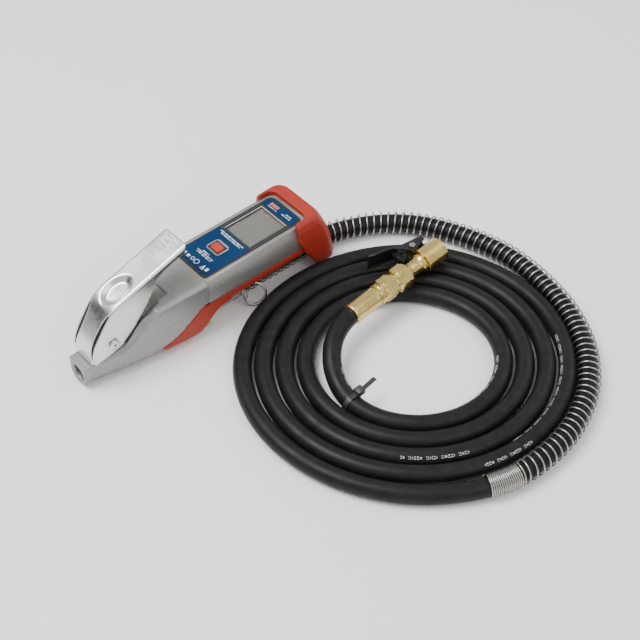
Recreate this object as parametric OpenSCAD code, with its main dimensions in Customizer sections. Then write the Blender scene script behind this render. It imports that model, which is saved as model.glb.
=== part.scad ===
// Hand-held tyre inflator: cast valve body with a squeeze lever, digital gauge,
// rubber boot and bumper, wire-guarded hose wound into a flat coil, and a
// clip-on valve connector. X runs from the air inlet to the bumper, +Z is up.

/* [Casing] */
// Width of the gauge casing
casing_w = 44; // [43:0.5:45]
// Height of the casing's top face above the surface it stands on
casing_top = 47.5; // [47:0.25:48.5]
// Wall thickness of the casing shells
wall = 2.2; // [1.8:0.1:2.6]
// Width of the rubber bumper
bumper_w = 49.5; // [49:0.5:52]
// Height of the rubber bumper
bumper_h = 51.5; // [51:0.5:53]

/* [Display] */
// Length of the display window
window_len = 33; // [30:0.5:34]
// Width of the display window
window_w = 27; // [24:0.5:27.5]
// Distance that the power button travels
button_travel = 1; // [0.5:0.1:1.2]

/* [Valve and lever] */
// Bore of the air inlet, the minor diameter of a quarter-inch pipe thread
inlet_d = 11.5; // [11.4:0.05:11.9]
// Depth of the inlet thread
inlet_depth = 13; // [11:0.5:14]
// Outside width of the squeeze lever
lever_w = 23; // [22.6:0.1:23.4]
// Sheet thickness of the squeeze lever
lever_t = 1.6; // [1.2:0.1:1.7]
// Diameter of the lever's pivot pin
pin_d = 4; // [3.6:0.1:4.4]
// Diameter of the valve plunger
plunger_d = 6; // [5:0.1:7]

/* [Hose] */
// Outside diameter of the rubber hose
hose_d = 12.7; // [12.5:0.1:12.9]
// Outside diameter of the wire guard around the hose
guard_d = 15.6; // [15.2:0.1:16]
// Centreline radius at the start of the flat coil
coil_r = 119; // [118:0.5:120]
// Spacing of neighbouring turns of the coil
coil_pitch = 14.1; // [13.6:0.1:14.2]
// Depth of the coil's outline over its width
coil_ratio = 0.94; // [0.92:0.01:0.96]

/* [Connector] */
// Outside diameter of the crimped ferrule
ferrule_d = 14.4; // [14:0.1:15]
// Width across the flats of the two hexagons
hex_af = 16; // [15:0.5:16.5]
// Outside diameter of the clip-on head
head_d = 17.4; // [17:0.1:17.6]
// Bore of the clip-on head, which takes a tyre valve
valve_bore_d = 8.2; // [8:0.1:8.6]

/* [Hidden] */
$fn = 48;
gap = 0.05;

// Body stations along X
face_x = -103;
joint_x = -9;
casing_rear = 84;
seam_z = 28;
base_z = 19;
half_w = casing_w / 2;
boot_half_w = half_w + 0.8;

// Bezel and its openings
bezel_x = [-8.6, 77.5];
bezel_half_w = 16.8;
bezel_top = casing_top + 0.5;
window_x = [32.5, 32.5 + window_len];
button_x = [12.6, 19];
button_half_w = 4.3;
surround_x = [10.4, 21.8];
surround_half_w = 6.6;
switch_top = 42.7;

// Lever geometry, as seen from the side (x, z)
pin_pos = [-79.7, 31.2];
lever_top = [
    [-16, 79.6], [-73, 61.3], [-80, 55.6], [-88.4, 45], [-93.6, 37], [-96, 31], [-96.8, 25], [-96.9, 20.7]
];
flange_low = [
    [-95.4, 20.6], [-84, 22.6], [-73.2, 25.5], [-65.4, 30.5], [-58.9, 38.4], [-49, 49], [-46, 60]
];
lip_h = 3.6;
plate_slope = 17.8;
dimple_pos = [-65.5, 63.7];
dimple_depth = 3.2;
flange_in = lever_w / 2 - lever_t;
apron_half_w = flange_in - 0.3;
neck_half_w = flange_in - 0.5;
channel_half_w = lever_w / 2 + 0.6;
plunger_x = -65;
plunger_top = 58;
seat_z = 15;

// Outlet and hose
outlet_y = -5.8;
outlet_z = 10.3;
hose_start = 2;
coil_c = [71.3, -132.4];
coil_turn = -41.13;
hose_route = [
    [2, -5.8, 10.3], [12, -5.8, 10.3], [26, -5.2, 9.5], [40, -4.6, 9], [55, -4.4, 8.7], [70, -4.4, 8.5],
    [85, -4.6, 8.3], [100, -5.2, 8.1], [114, -8, 8], [125, -12, 8], [137, -18, 8], [148, -25, 8],
    [158, -34, 8], [166, -43, 8], [172, -53, 8], [178, -65, 8], [183, -77, 8], [187, -90, 8],
    [190, -104, 8], [191, -118, 8], [190, -132, 8], [188, -147, 8], [185, -162, 8], [180, -177, 8],
    [173, -191, 8], [165, -204, 8], [155, -215, 8], [143, -226, 8], [130, -234, 8], [116, -240, 8],
    [101, -245, 8], [86, -247, 8], [71, -247.5, 8], [57, -246.5, 8], [45, -243.5, 7.8],
    [36, -240.5, 7], [29, -237.5, 6.5]
];

// Connector frame: lies on top of the coil, almost parallel to X
chuck_pos = [59.2, -86.7, 21.7];
chuck_turn = 4.3;
rivet_pos = [73.5, 11.5];
shank_r = 4;
air_r = 2;

// ---------------------------------------------------------------- helpers

function unit(v) = v / norm(v);

// Ring of points around a rounded section at station x
function body_ring(x, hw, zb, zt, rb, rt, n = 6) = concat(
    [for (i = [0:n]) let (a = -90 + 90 * i / n) [x, hw - rb + rb * cos(a), zb + rb + rb * sin(a)]],
    [for (i = [0:n]) let (a = 90 * i / n) [x, hw - rt + rt * cos(a), zt - rt + rt * sin(a)]],
    [for (i = [0:n]) let (a = 90 + 90 * i / n) [x, -hw + rt + rt * cos(a), zt - rt + rt * sin(a)]],
    [for (i = [0:n]) let (a = 180 + 90 * i / n) [x, -hw + rb + rb * cos(a), zb + rb + rb * sin(a)]]
);

// Skin over a list of rings that all have the same number of points
module loft(rings) {
    n = len(rings[0]);
    m = len(rings);
    sides = [for (k = [0:m - 2], i = [0:n - 1], t = [0, 1])
        let (a = k * n + i, b = k * n + (i + 1) % n, c = a + n, d = b + n)
        t == 0 ? [a, c, b] : [b, c, d]];
    first = [[for (i = [0:n - 1]) i]];
    last = [[for (i = [n - 1:-1:0]) (m - 1) * n + i]];
    polyhedron(points = [for (r = rings, p = r) p], faces = concat(sides, first, last), convexity = 6);
}

// Direction of a route at point i
function route_dir(p, i) = unit(p[min(i + 1, len(p) - 1)] - p[max(i - 1, 0)]);

// Ring of a round tube at point i, square to the route
function tube_ring(p, i, r, n) =
    let (d = route_dir(p, i), s = unit(cross(d, [0, 0, 1])), u = cross(s, d))
    [for (k = [0:n - 1]) let (a = 360 * k / n) p[i] + r * (cos(a) * s + sin(a) * u)];

// Round tube swept along a route of points
module swept_tube(p, r, n = 12) {
    loft([for (i = [0:len(p) - 1]) tube_ring(p, i, r, n)]);
}

// Plate with a side outline in (x, z), between two Y values
module side_plate(points, y0, y1) {
    translate([0, y1, 0])
        rotate([90, 0, 0])
            linear_extrude(y1 - y0)
                polygon(points);
}

// Bar with a cross-section in (y, z), between two X values
module long_bar(points, x0, x1) {
    translate([x0, 0, 0])
        rotate([90, 0, 90])
            linear_extrude(x1 - x0)
                polygon(points);
}

module box(lo, hi) {
    translate(lo)
        cube(hi - lo);
}

module x_cylinder(x0, x1, y, z, r) {
    translate([x0, y, z])
        rotate([0, 90, 0])
            cylinder(h = x1 - x0, r = r);
}

module y_cylinder(y0, y1, x, z, r) {
    translate([x, y1, z])
        rotate([90, 0, 0])
            cylinder(h = y1 - y0, r = r);
}

// Inner offset of a side line by the sheet thickness
function offset_line(p, t) = [for (i = [0:len(p) - 1])
    let (a = p[max(i - 1, 0)], b = p[min(i + 1, len(p) - 1)], d = unit(b - a))
    p[i] + t * [-d[1], d[0]]];

function reverse(p) = [for (i = [len(p) - 1:-1:0]) p[i]];

// Quarter circle of points about (x, y), starting at angle a0
function corner(x, y, r, a0, n = 8) = [for (i = [0:n])
    let (a = a0 + 90 * i / n)
    [x + r * cos(a), y + r * sin(a)]];

// Rounded rectangle in plan, centred on y = 0, as a list of points
function plan_outline(x, hw, r_front, r_rear, n_front = 8, n_rear = 8) = concat(
    corner(x[1] - r_rear, -hw + r_rear, r_rear, -90, n_rear),
    corner(x[1] - r_rear, hw - r_rear, r_rear, 0, n_rear),
    corner(x[0] + r_front, hw - r_front, r_front, 90, n_front),
    corner(x[0] + r_front, -hw + r_front, r_front, 180, n_front)
);

module plan_plate(x, hw, z0, z1, r_front, r_rear) {
    translate([0, 0, z0])
        linear_extrude(z1 - z0)
            polygon(plan_outline(x, hw, r_front, r_rear));
}

// ---------------------------------------------------------------- valve body

// Full outer form of the casting, from the inlet block to the casing joint
module casting_form() {
    loft([
        body_ring(face_x, 8.6, 1.2, 19.6, 8.4, 0.8),
        body_ring(-92, 9.6, 1.2, 19.6, 8.6, 1.6),
        body_ring(-84, 12, 1.2, 21.2, 9, 3),
        body_ring(-73, 14.6, 1.2, 23.8, 10, 5),
        body_ring(-65, 16.2, 1.2, 28.6, 10, 6),
        body_ring(-58, 17.2, 1.2, 36, 10, 5),
        body_ring(-48, 18.3, 1.4, 44, 10, 4),
        body_ring(-28, 20.4, 1.8, 46, 10, 3.5),
        body_ring(joint_x, half_w, 2.4, casing_top, 10, 3.5)
    ]);
}

// Inner core of the casting, which the rubber boot wraps
module casting_core(grow) {
    long_bar([
        [-15 - grow, 31], [-15 - grow, 8], [-10, 4 - grow], [10, 4 - grow], [15 + grow, 8], [15 + grow, 31]
    ], -48 - grow, joint_x);
}

// Slanting facet between the shoulder's ridge and the channel beside the flange
module shoulder_facet(s) {
    hull()
        for (p = [
            [-41.6, 17.3, 44.3], [-58, channel_half_w, 38.7], [-72.4, 13, 25.6],
            [-41.6, channel_half_w, 42], [-58, channel_half_w, 28], [-72.4, channel_half_w, 21]
        ])
            translate([p[0], s * p[1], p[2]])
                cube(0.1, center = true);
}

module front_casting() color([0.66, 0.66, 0.65]) {
    difference() {
        union() {
            difference() {
                casting_form();
                boot_bulge(gap);
            }
            intersection() {
                casting_core(0);
                casting_form();
            }
            for (s = [-1, 1])
                shoulder_facet(s);
            side_plate([
                [-91, 15], [-90.5, 30], [-86, 39], [-80, 46], [-74, 50], [-62, 52],
                [-57, 48], [-54, 38], [-50, 30], [-50, 15]
            ], -neck_half_w, neck_half_w);
        }
        // Channel that the lever's flanges swing in
        for (s = [-1, 1])
            side_plate([
                [-70, 70], [-70, 23.2], [-63.5, 27.6], [-57, 33.6], [-46, 42], [-38, 47], [-36, 70]
            ], s > 0 ? neck_half_w : -channel_half_w, s > 0 ? channel_half_w : -neck_half_w);
        side_plate([[-50, 70], [-50, 38], [-45, 39.5], [-34, 44.5], [-31, 50]], -neck_half_w, neck_half_w);
        // Inlet, thread relief and passage
        x_cylinder(face_x - 1, face_x + inlet_depth, 0, 10.2, inlet_d / 2);
        translate([face_x - 0.01, 0, 10.2])
            rotate([0, 90, 0])
                cylinder(h = 1.2, r1 = inlet_d / 2 + 1.1, r2 = inlet_d / 2);
        x_cylinder(face_x + inlet_depth - 1, -84, 0, 10.2, 4.2);
        x_cylinder(-85, plunger_x, 0, 10.2, 2.5);
        // Valve chamber, plunger bore and outlet passage
        translate([plunger_x, 0, 6])
            cylinder(h = 21, r = 5.2);
        translate([plunger_x, 0, 20])
            cylinder(h = 40, d = plunger_d + 0.1);
        x_cylinder(plunger_x, -28, 0, seat_z + 6.5, 2.4);
        translate([-30, outlet_y / 2, outlet_z])
            cylinder(h = seat_z + 6.5 - outlet_z, r = 2.4);
        x_cylinder(-32, -19, outlet_y, outlet_z, 2.4);
        x_cylinder(-20, joint_x + 1, outlet_y, outlet_z, 6);
        // Lever pin
        y_cylinder(-30, 30, pin_pos[0], pin_pos[1], pin_d / 2);
    }
}

module inlet_filter() color([0.75, 0.65, 0.4]) {
    x_cylinder(-89, -84.5, 0, 10.2, 4.15);
}

module lever_pin() color([0.8, 0.8, 0.8]) {
    y_cylinder(-lever_w / 2 - 0.4, lever_w / 2 + 0.4, pin_pos[0], pin_pos[1], pin_d / 2);
    for (s = [-1, 1])
        translate([pin_pos[0], s * (lever_w / 2 + 0.925), pin_pos[1]])
            rotate([90, 0, 0])
                cylinder(h = 1.15, r = pin_d / 2 + 1.9, center = true);
}

// Oval cup set into the lever's plate, between two heights square to the plate.
// The reach is half the distance between the centres of its two round ends.
module oval_cup(top, floor, rim, rim_reach, base, base_reach) {
    translate([dimple_pos[0], 0, dimple_pos[1]])
        rotate([0, -plate_slope, 0])
            hull()
                for (s = [-1, 1]) {
                    translate([s * rim_reach, 0, top - 0.1])
                        cylinder(h = 0.1, r = rim);
                    translate([s * base_reach, 0, floor])
                        cylinder(h = 0.1, r = base);
                }
}

// Narrow apron over the nose, hollowed along both sides to leave a slit beside each flange
module lever_apron(points) {
    hollow = 2.2;
    bow = 90;
    difference() {
        side_plate(points, -apron_half_w, apron_half_w);
        for (s = [-1, 1])
            translate([-87.5, s * (apron_half_w - hollow + bow), 39.5])
                rotate([0, -61.6, 0])
                    cylinder(h = 40, r = bow, center = true, $fn = 180);
    }
}

module trigger_lever() color([0.85, 0.85, 0.86]) {
    inner = offset_line(lever_top, lever_t);
    plate_top = [for (i = [0:1]) lever_top[i]];
    plate_in = [for (i = [0:1]) inner[i]];
    difference() {
        union() {
            // Bent top plate, full width as far as the bend
            side_plate(concat(plate_top, reverse(plate_in)), -lever_w / 2, lever_w / 2);
            lever_apron(concat([for (i = [1:7]) lever_top[i]], [for (i = [7:-1:1]) inner[i]]));
            // Side flanges
            for (s = [-1, 1])
                side_plate(concat([for (i = [0:6]) lever_top[i]], flange_low,
                    [lever_top[0] + [-29, -9.3 - lip_h], lever_top[0] + [0.4, -lip_h]]),
                    s > 0 ? flange_in : -lever_w / 2, s > 0 ? lever_w / 2 : -flange_in);
            // Pressed dimple that bears on the plunger
            oval_cup(-1.5, -dimple_depth - lever_t, 9.2, 5.5, 6.2, 2.6);
            // Thumb ribs
            for (i = [0:3])
                translate([-18.9 - 3.35 * i, 0, 78.6 - 1.075 * i])
                    rotate([0, -plate_slope, 0])
                        translate([-0.4, -5.8, 0])
                            cube([0.8, 11.6, 0.6]);
        }
        oval_cup(0.1, -dimple_depth, 8.8, 5.5, 5, 2.6);
        y_cylinder(-30, 30, pin_pos[0], pin_pos[1], pin_d / 2 + gap);
    }
}

module valve_plunger() color([0.8, 0.75, 0.6]) {
    translate([plunger_x, 0, 0]) {
        translate([0, 0, seat_z - 1])
            cylinder(h = plunger_top - 1 - seat_z, d = plunger_d);
        translate([0, 0, plunger_top - 2])
            cylinder(h = 2, d1 = plunger_d, d2 = plunger_d - 3);
        translate([0, 0, seat_z - 3])
            cylinder(h = 2.7, r = 4.6);
        translate([0, 0, seat_z - 6])
            cylinder(h = 3.5, r = 1.6);
    }
}

module valve_spring() color([0.7, 0.7, 0.7]) {
    for (i = [0:3])
        translate([plunger_x, 0, 6.8 + 1.4 * i])
            rotate_extrude()
                translate([3.4, 0])
                    circle(r = 0.4, $fn = 16);
}

module valve_seat() color([0.78, 0.66, 0.35]) {
    translate([plunger_x, 0, seat_z])
        difference() {
            cylinder(h = 3, r = 5.15);
            translate([0, 0, -1])
                cylinder(h = 5, d = plunger_d + 0.8);
        }
}

module outlet_fitting() color([0.78, 0.66, 0.35]) {
    difference() {
        union() {
            x_cylinder(-19.5, hose_start - 0.05, outlet_y, outlet_z, 5.95);
            translate([joint_x + 0.1, outlet_y, outlet_z])
                rotate([0, 90, 0])
                    rotate([0, 0, 30])
                        cylinder(h = 5, r = 7.6, $fn = 6);
        }
        x_cylinder(-20, hose_start + 1, outlet_y, outlet_z, 2.4);
    }
}

// ---------------------------------------------------------------- gauge casing

casing_outline = [
    [-half_w, seam_z], [-half_w, casing_top - 7.5], [-half_w + 2.5, casing_top],
    [half_w - 2.5, casing_top], [half_w, casing_top - 7.5], [half_w, seam_z]
];
casing_cavity = [
    [-half_w + wall, seam_z - 1], [-half_w + wall, casing_top - 8.5],
    [-half_w + wall + 2.4, casing_top - 3.4],
    [half_w - wall - 2.4, casing_top - 3.4], [half_w - wall, casing_top - 8.5], [half_w - wall, seam_z - 1]
];
base_outline = [
    [-19.2, seam_z], [-19.2, base_z + 3], [-16, base_z], [16, base_z], [19.2, base_z + 3], [19.2, seam_z]
];
base_cavity = [
    [-19.2 + wall, seam_z + 1], [-19.2 + wall, base_z + 3.6], [-15, base_z + wall], [15, base_z + wall],
    [19.2 - wall, base_z + 3.6], [19.2 - wall, seam_z + 1]
];
screw_spots = [[4, -15], [4, 15], [62, -15], [62, 15]];

// A casing section made larger by the gap all round, about the height mid
function widened(section, mid) = [for (p = section)
    [p[0] + sign(p[0]) * gap, p[1] + (p[1] > mid ? gap : -gap)]];

module upper_casing() color([0.66, 0.66, 0.65]) {
    difference() {
        union() {
            difference() {
                long_bar(casing_outline, joint_x + gap, casing_rear);
                long_bar(casing_cavity, joint_x + wall, casing_rear - wall);
            }
            // Screw bosses
            for (p = screw_spots)
                translate([p[0], p[1], seam_z])
                    cylinder(h = casing_top - seam_z - 3.2, r = 3);
        }
        // Bezel recess, display and button openings
        plan_plate([bezel_x[0] - gap, bezel_x[1] + gap], bezel_half_w + gap, bezel_top - 1.5, 60, 3, 5);
        box([window_x[0] - 2.5, -window_w / 2 - 2, 30], [window_x[1] + 2.5, window_w / 2 + 2, 60]);
        box([button_x[0] - 1, -button_half_w - 1, 30], [button_x[1] + 1, button_half_w + 1, 60]);
        for (p = screw_spots)
            translate([p[0], p[1], seam_z - 1])
                cylinder(h = 9, r = 1.25);
    }
}

module lower_casing() color([0.3, 0.3, 0.31]) {
    difference() {
        union() {
            difference() {
                long_bar(base_outline, joint_x + gap, casing_rear);
                long_bar(base_cavity, joint_x + wall, casing_rear - wall);
            }
            for (p = screw_spots)
                translate([p[0], p[1], base_z + 0.5])
                    cylinder(h = seam_z - base_z - 0.5, r = 3);
        }
        for (p = screw_spots) {
            translate([p[0], p[1], base_z - 4])
                cylinder(h = 20, r = 1.6);
            translate([p[0], p[1], base_z - 4])
                cylinder(h = 6, r = 2.8);
        }
    }
}

module casing_screws() color([0.55, 0.55, 0.57]) {
    for (p = screw_spots)
        translate([p[0], p[1], 0]) {
            translate([0, 0, base_z + 0.1])
                difference() {
                    cylinder(h = 1.8, r = 2.6);
                    box([-1.8, -0.3, -1], [1.8, 0.3, 0.8]);
                    box([-0.3, -1.8, -1], [0.3, 1.8, 0.8]);
                }
            translate([0, 0, base_z + 1.8])
                cylinder(h = 14, r = 1.2);
        }
}

// ---------------------------------------------------------------- rubber parts

// Full form of the boot's deep front, before it is hollowed
module boot_bulge(grow) {
    intersection() {
        side_plate([
            [-47 - grow, 7 - grow], [-41, 2 - grow], [-36, -grow], [-24, -grow], [-19, 4.4], [-14, 9.8],
            [-9, 15], [-4, 19], [1, 21.2], [9, 21.8], [9, seam_z + 1 + grow], [-12, seam_z + 1 + grow],
            [-17, 26.6 + grow], [-24, 21 + grow], [-32, 14.8 + grow], [-40, 10.4 + grow],
            [-47 - grow, 8 + grow]
        ], -30, 30);
        long_bar([for (p = body_ring(0, boot_half_w + grow, -grow, 60, 10, 1)) [p[1], p[2]]], -60, 20);
        loft([
            body_ring(-60, 17.6 + grow, -grow, 60, 10, 1),
            body_ring(joint_x, boot_half_w + grow, -grow, 60, 10, 1),
            body_ring(20, boot_half_w + grow, -grow, 60, 10, 1)
        ]);
    }
}

boot_outline = [
    [-boot_half_w, seam_z + 1], [-boot_half_w, 25], [-20.4, 20.6], [-16.5, 17.6], [16.5, 17.6], [20.4, 20.6],
    [boot_half_w, 25], [boot_half_w, seam_z + 1]
];

module red_boot() color([0.68, 0.16, 0.1]) {
    difference() {
        union() {
            difference() {
                boot_bulge(0);
                casting_core(gap);
            }
            intersection() {
                long_bar(boot_outline, -8, 80);
                side_plate([[-6, 17], [77.9, 17], [72.7, 25], [70.8, 29.4], [0, 29.4], [0, 21]], -30, 30);
            }
        }
        // Seat of the two casing shells
        long_bar(widened(base_outline, 60), joint_x, 90);
        box([joint_x - 20, -half_w - gap, seam_z - gap], [90, half_w + gap, 60]);
        // Way out for the hose fitting and the guard
        x_cylinder(joint_x - 1, 32, outlet_y, outlet_z, 8.2);
        // Screw access
        for (p = screw_spots)
            translate([p[0], p[1], 0])
                cylinder(h = 22, r = 2.8);
        // Holes for the staple's legs
        for (s = [-1, 1])
            translate(leg_foot(s))
                cylinder(h = leg_top(s) - staple_z + gap, r = staple_wire + gap);
    }
}

// Ring of the bumper in plan at height z, from x0 to x1
function plan_ring(z, x0, x1, hw, r_rear, r_front = 1.5) =
    [for (p = plan_outline([x0, x1], hw, r_front, r_rear, 2, 6)) [p[0], p[1], z]];

module rear_bumper() color([0.7, 0.17, 0.1]) {
    w = bumper_w / 2;
    difference() {
        loft([
            plan_ring(0, 91, 98, w - 7.5, 3),
            plan_ring(1.5, 88.6, 101.5, w - 4, 5),
            plan_ring(5, 86, 103, w - 1.7, 7),
            plan_ring(10, 82.7, 103, w - 0.4, 8),
            plan_ring(25, 73, 99.5, w, 7),
            plan_ring(36, 68, 96, w - 0.1, 7),
            plan_ring(44, 67.8, 92.8, w - 0.7, 8),
            plan_ring(49, 67.8, 90.6, w - 2, 8.5),
            plan_ring(bumper_h, 69, 88.8, w - 4, 8)
        ]);
        // Socket for the end of the casing, open above around the bezel
        long_bar(widened(casing_outline, 30), 60, casing_rear + gap);
        long_bar(widened(base_outline, 27), 60, casing_rear + gap);
        plan_plate([60, 79.6], 19, 40, 60, 1, 6);
        // Arch that the guarded hose passes through
        x_cylinder(60, 110, -4.8, 8.4, 9.4);
        box([60, -14.2, -1], [110, 4.6, 8.4]);
    }
}

// ---------------------------------------------------------------- display

module bezel() color([0.2, 0.2, 0.22]) {
    difference() {
        plan_plate(bezel_x, bezel_half_w, bezel_top - 1.5 + gap, bezel_top, 3, 5);
        box([window_x[0], -window_w / 2, 40], [window_x[1], window_w / 2, 60]);
        box([button_x[0] - 0.3, -button_half_w - 0.3, 40], [button_x[1] + 0.3, button_half_w + 0.3, 60]);
    }
}

module display_window() color([0.62, 0.63, 0.6, 0.5]) {
    box([window_x[0] - 2, -window_w / 2 - 1.5, bezel_top - 2.5],
        [window_x[1] + 2, window_w / 2 + 1.5, bezel_top - 1.5]);
}

module display_module() color([0.55, 0.54, 0.5]) {
    box([window_x[0] - 1.5, -window_w / 2 - 1, 39.6], [window_x[1] + 1.5, window_w / 2 + 1, bezel_top - 2.6]);
}

module front_label() color([0.03, 0.2, 0.4]) {
    difference() {
        plan_plate([-6.6, 30.8], 15.7, bezel_top, bezel_top + 0.3, 1.5, 0.5);
        box([surround_x[0] - 0.1, -surround_half_w - 0.1, 40],
            [surround_x[1] + 0.1, surround_half_w + 0.1, 60]);
    }
}

module rear_label() color([0.03, 0.2, 0.4]) {
    plan_plate([66.8, 75.6], 15.4, bezel_top, bezel_top + 0.3, 0.5, 3.5);
}

module button_surround() color([0.6, 0.6, 0.62]) {
    difference() {
        plan_plate(surround_x, surround_half_w, bezel_top + 0.05, bezel_top + 0.9, 2.5, 2.5);
        box([button_x[0] - 0.3, -button_half_w - 0.3, 40], [button_x[1] + 0.3, button_half_w + 0.3, 60]);
    }
}

module power_button() color([0.75, 0.15, 0.1]) {
    plan_plate(button_x, button_half_w, switch_top + button_travel + 0.2, bezel_top + 1.5, 1.4, 1.4);
}

module button_switch() color([0.15, 0.15, 0.15]) {
    box([12.8, -3, 39.6], [18.8, 3, 41.6]);
    translate([15.8, 0, switch_top - 1.2])
        cylinder(h = 1.2, r = 1.6);
}

module circuit_board() color([0.1, 0.35, 0.2]) {
    difference() {
        box([3, -17.4, 38], [72, 17.4, 39.55]);
        for (p = screw_spots)
            translate([p[0], p[1], 30])
                cylinder(h = 20, r = 3.2);
    }
}

module pressure_sensor() color([0.75, 0.76, 0.78]) {
    translate([8, 0, 31])
        cylinder(h = 6.95, r = 4.2);
    translate([8, 0, 28.4])
        cylinder(h = 2.7, r = 1.4);
}

module battery(y) {
    x_cylinder(14, 58, y, 26.8, 5.2);
    x_cylinder(57.9, 58.9, y, 26.8, 2);
}

module battery_left() color([0.12, 0.3, 0.25]) {
    battery(5.8);
}

module battery_right() color([0.12, 0.3, 0.25]) {
    battery(-5.8);
}

module battery_contacts() color([0.8, 0.8, 0.8]) {
    box([13, -11, 22], [13.9, 11, 31.5]);
    box([59, -11, 22], [59.9, 11, 31.5]);
}

// ---------------------------------------------------------------- hanging ring

ring_r = 8;
ring_wire = 1.1;
// The ring leans back: its normal, its level tangent and its steepest line
ring_normal = [-0.449, -0.778, 0.438];
ring_along = [0.866, -0.5, 0];
ring_up = [0.219, 0.379, 0.899];
ring_c = [31, -18.3, 8.36];
ring_top = ring_c + ring_r * ring_up;
staple_r = 2.4;
staple_wire = 0.9;
staple_z = ring_top[2] + 0.2;

// Centre of the staple's leg on side s, level with the top of its bend
function leg_foot(s) = [ring_top[0] + s * 0.5 * staple_r, ring_top[1] + s * 0.866 * staple_r, staple_z];
function leg_top(s) = s < 0 ? 19.2 : 18.9;

module hook_bail() color([0.75, 0.74, 0.7]) {
    translate([ring_top[0], ring_top[1], staple_z])
        rotate([0, 0, 60])
            rotate([90, 0, 0])
                rotate([0, 0, 180])
                    rotate_extrude(angle = 180)
                        translate([staple_r, 0])
                            circle(r = staple_wire, $fn = 24);
    for (s = [-1, 1])
        translate(leg_foot(s))
            cylinder(h = leg_top(s) - staple_z, r = staple_wire, $fn = 24);
}

module hanging_ring() color([0.7, 0.69, 0.66]) {
    translate(ring_c)
        rotate([0, acos(ring_normal[2]), atan2(ring_normal[1], ring_normal[0])])
            rotate_extrude($fn = 96)
                translate([ring_r, 0])
                    circle(r = ring_wire, $fn = 24);
}

// ---------------------------------------------------------------- hose

module hose_run() color([0.12, 0.12, 0.13]) {
    swept_tube(hose_route, hose_d / 2);
}

// The turns stand out a little where the guard ends, and bend in where the body lies beside them
function guard_push(t) = t < 0.42 ? 3.2 * pow((0.42 - t) / 0.22, 2) : 0;
function body_push(t) =
    let (a = 360 * (t - floor(t)) - 228)
    abs(a) < 60 && t < 3 ? 3.8 * (1 - t / 3) * pow(cos(1.5 * a), 2) : 0;

// Point of the coil's outline: turn number t counts clockwise from the coil's right
function coil_point(t, off) =
    let (
        r = coil_r - coil_pitch * t + guard_push(t) - body_push(t) + off,
        x = r * cos(360 * t),
        y = -coil_ratio * r * sin(360 * t)
    )
    coil_c + [x * cos(coil_turn) - y * sin(coil_turn), x * sin(coil_turn) + y * cos(coil_turn)];

coil_turns = [0.2, 4.3];

// The tail follows the last turn, then climbs on one even bend to the connector
tail_turn_step = 0.025;
tail_turn_steps = 3;
tail_bend_steps = 9;
tail_steps = tail_turn_steps + tail_bend_steps;
tail_bend = 47;
tail_c = [chuck_pos[0] + tail_bend * sin(chuck_turn), chuck_pos[1] - tail_bend * cos(chuck_turn)];
function tail_plan(i) =
    let (a = 180 - (90 - chuck_turn) * (i - tail_turn_steps) / tail_bend_steps)
    i > tail_turn_steps
        ? tail_c + tail_bend * [cos(a), sin(a)]
        : coil_point(coil_turns[1] + tail_turn_step * i, 0);
function tail_climb(f) = f < 0.5 ? 2 * f * f : 1 - 2 * (1 - f) * (1 - f);
tail_route = [
    for (i = [0:tail_steps])
        let (p = tail_plan(i))
        [p[0], p[1], hose_d / 2 + (chuck_pos[2] - hose_d / 2) * tail_climb(i / tail_steps)]
];

module hose_coil() color([0.12, 0.12, 0.13]) {
    linear_extrude(hose_d)
        difference() {
            polygon([for (i = [0:60]) coil_point(coil_turns[0] + i / 60, hose_d / 2)]);
            polygon([for (i = [0:60]) coil_point(coil_turns[1] - 1 + i / 60, -hose_d / 2)]);
        }
}

module hose_tail() color([0.12, 0.12, 0.13]) {
    swept_tube(tail_route, hose_d / 2);
}

module guard_front_end() color([0.75, 0.74, 0.72]) {
    difference() {
        x_cylinder(hose_start + 0.1, hose_start + 14, outlet_y, outlet_z, guard_d / 2);
        x_cylinder(hose_start - 1, hose_start + 15, outlet_y, outlet_z, hose_d / 2 + 0.1);
    }
}

module guard_rear_end() color([0.75, 0.74, 0.72]) {
    p = [56.6, -246.6, 8];
    q = [34.5, -240.4, 8];
    translate(p)
        rotate([0, 90, atan2(q[1] - p[1], q[0] - p[0])])
            difference() {
                cylinder(h = norm(q - p), d = guard_d);
                translate([0, 0, -1])
                    cylinder(h = norm(q - p) + 2, d = hose_d + 0.2);
            }
}

// The tie lies on the last turn where it starts to climb
tie_z = hose_d + 2;

module cable_tie() color([0.08, 0.08, 0.08]) {
    translate([14.2, -138.3, tie_z])
        cube([9, 3.6, 1.2]);
    translate([18.7, -139.3, tie_z])
        cube([6, 5.6, 4]);
    translate([24.2, -138.3, tie_z + 1.2])
        rotate([0, 0, 8])
            cube([13, 3.2, 1]);
}

// ---------------------------------------------------------------- connector

// Places a piece whose axis is +X at the ferrule's open end
module on_chuck() {
    translate(chuck_pos)
        rotate([0, 0, chuck_turn])
            children();
}

module hex_bar(x0, x1, af) {
    translate([x0, 0, 0])
        rotate([0, 90, 0])
            rotate([0, 0, 12])
                cylinder(h = x1 - x0, r = af / sqrt(3), $fn = 6);
}

module hose_ferrule() color([0.79, 0.71, 0.43]) on_chuck() {
    difference() {
        union() {
            x_cylinder(0.05, 24.5, 0, 0, ferrule_d / 2);
            x_cylinder(24.5, 28.5, 0, 0, ferrule_d / 2 + 0.5);
        }
        translate([26, 0, 0])
            rotate([0, 90, 0])
                rotate_extrude()
                    translate([ferrule_d / 2 + 0.7, 0])
                        circle(r = 0.6, $fn = 16);
        x_cylinder(-1, 30, 0, 0, air_r);
    }
}

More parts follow.
